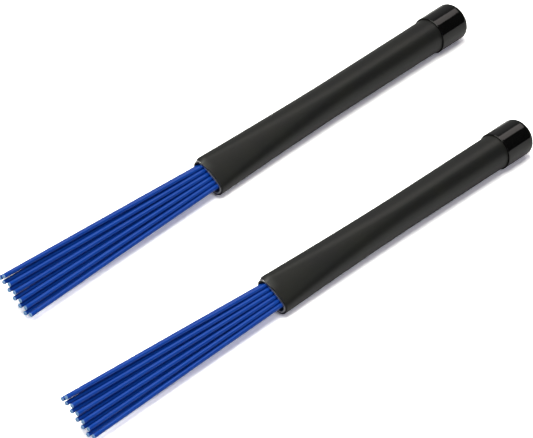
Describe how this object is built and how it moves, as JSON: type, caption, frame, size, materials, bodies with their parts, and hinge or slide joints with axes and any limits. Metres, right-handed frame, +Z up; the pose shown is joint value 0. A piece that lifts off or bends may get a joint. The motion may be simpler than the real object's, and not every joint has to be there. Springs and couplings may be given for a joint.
{
  "type": "drum brushes",
  "caption": "Pair of drum brushes: fans of thick blue nylon rods in rubber-sleeved tubes pressed flat at the mouth, with glossy push-on end caps.",
  "frame": {"origin": "on the surface that the pair lies on, under the middle of the pair's bounding box", "axes": "+X along both brushes from the rod tips to the end caps, +Z up; brush_a lies on the +Y side and brush_b on the -Y side, set back towards -X"},
  "size_m": [0.3772, 0.111, 0.0185],
  "materials": {
    "rod_nylon": "satin extruded nylon",
    "sleeve_rubber": "matte shrunk rubber",
    "cap_vinyl": "glossy dipped vinyl",
    "tube_aluminium": "drawn, bare",
    "casting_resin": "cast epoxy resin"
  },
  "bodies": {
    "brush_a_handle": {"brush_a_handle_tube": "tube_aluminium", "brush_a_grip_sleeve": "sleeve_rubber", "brush_a_resin_plug": "casting_resin", "brush_a_rod_roots": "rod_nylon"},
    "brush_a_fan": {"brush_a_upper_rod_1": "rod_nylon", "brush_a_upper_rod_2": "rod_nylon", "brush_a_upper_rod_3": "rod_nylon", "brush_a_upper_rod_4": "rod_nylon", "brush_a_upper_rod_5": "rod_nylon", "brush_a_upper_rod_6": "rod_nylon", "brush_a_lower_rod_1": "rod_nylon", "brush_a_lower_rod_2": "rod_nylon", "brush_a_lower_rod_3": "rod_nylon", "brush_a_lower_rod_4": "rod_nylon", "brush_a_lower_rod_5": "rod_nylon", "brush_a_lower_rod_6": "rod_nylon"},
    "brush_a_cap": {"brush_a_end_cap": "cap_vinyl"},
    "brush_b_handle": {"brush_b_handle_tube": "tube_aluminium", "brush_b_grip_sleeve": "sleeve_rubber", "brush_b_resin_plug": "casting_resin", "brush_b_rod_roots": "rod_nylon"},
    "brush_b_fan": {"brush_b_upper_rod_1": "rod_nylon", "brush_b_upper_rod_2": "rod_nylon", "brush_b_upper_rod_3": "rod_nylon", "brush_b_upper_rod_4": "rod_nylon", "brush_b_upper_rod_5": "rod_nylon", "brush_b_upper_rod_6": "rod_nylon", "brush_b_lower_rod_1": "rod_nylon", "brush_b_lower_rod_2": "rod_nylon", "brush_b_lower_rod_3": "rod_nylon", "brush_b_lower_rod_4": "rod_nylon", "brush_b_lower_rod_5": "rod_nylon", "brush_b_lower_rod_6": "rod_nylon"},
    "brush_b_cap": {"brush_b_end_cap": "cap_vinyl"}
  },
  "joints": [
    {"name": "brush_a_fan_flex", "type": "hinge", "parent": "brush_a_handle", "child": "brush_a_fan", "pos_m": [0.00658, 0.04307, 0.00925], "axis": [0, 0.8192, 0.5736], "range_deg": [-25, 25], "stiffness_Nm_per_rad": 1},
    {"name": "brush_a_cap_slide", "type": "slide", "parent": "brush_a_handle", "child": "brush_a_cap", "axis": [1, 0, 0], "range_m": [0, 0.03]},
    {"name": "brush_b_lift", "type": "slide", "parent": "brush_a_handle", "child": "brush_b_handle", "axis": [0, 0, 1], "range_m": [0, 0.15]},
    {"name": "brush_b_fan_flex", "type": "hinge", "parent": "brush_b_handle", "child": "brush_b_fan", "pos_m": [-0.05162, -0.04553, 0.00925], "axis": [0, 0.8192, 0.5736], "range_deg": [-25, 25], "stiffness_Nm_per_rad": 1},
    {"name": "brush_b_cap_slide", "type": "slide", "parent": "brush_b_handle", "child": "brush_b_cap", "axis": [1, 0, 0], "range_m": [0, 0.03]}
  ]
}
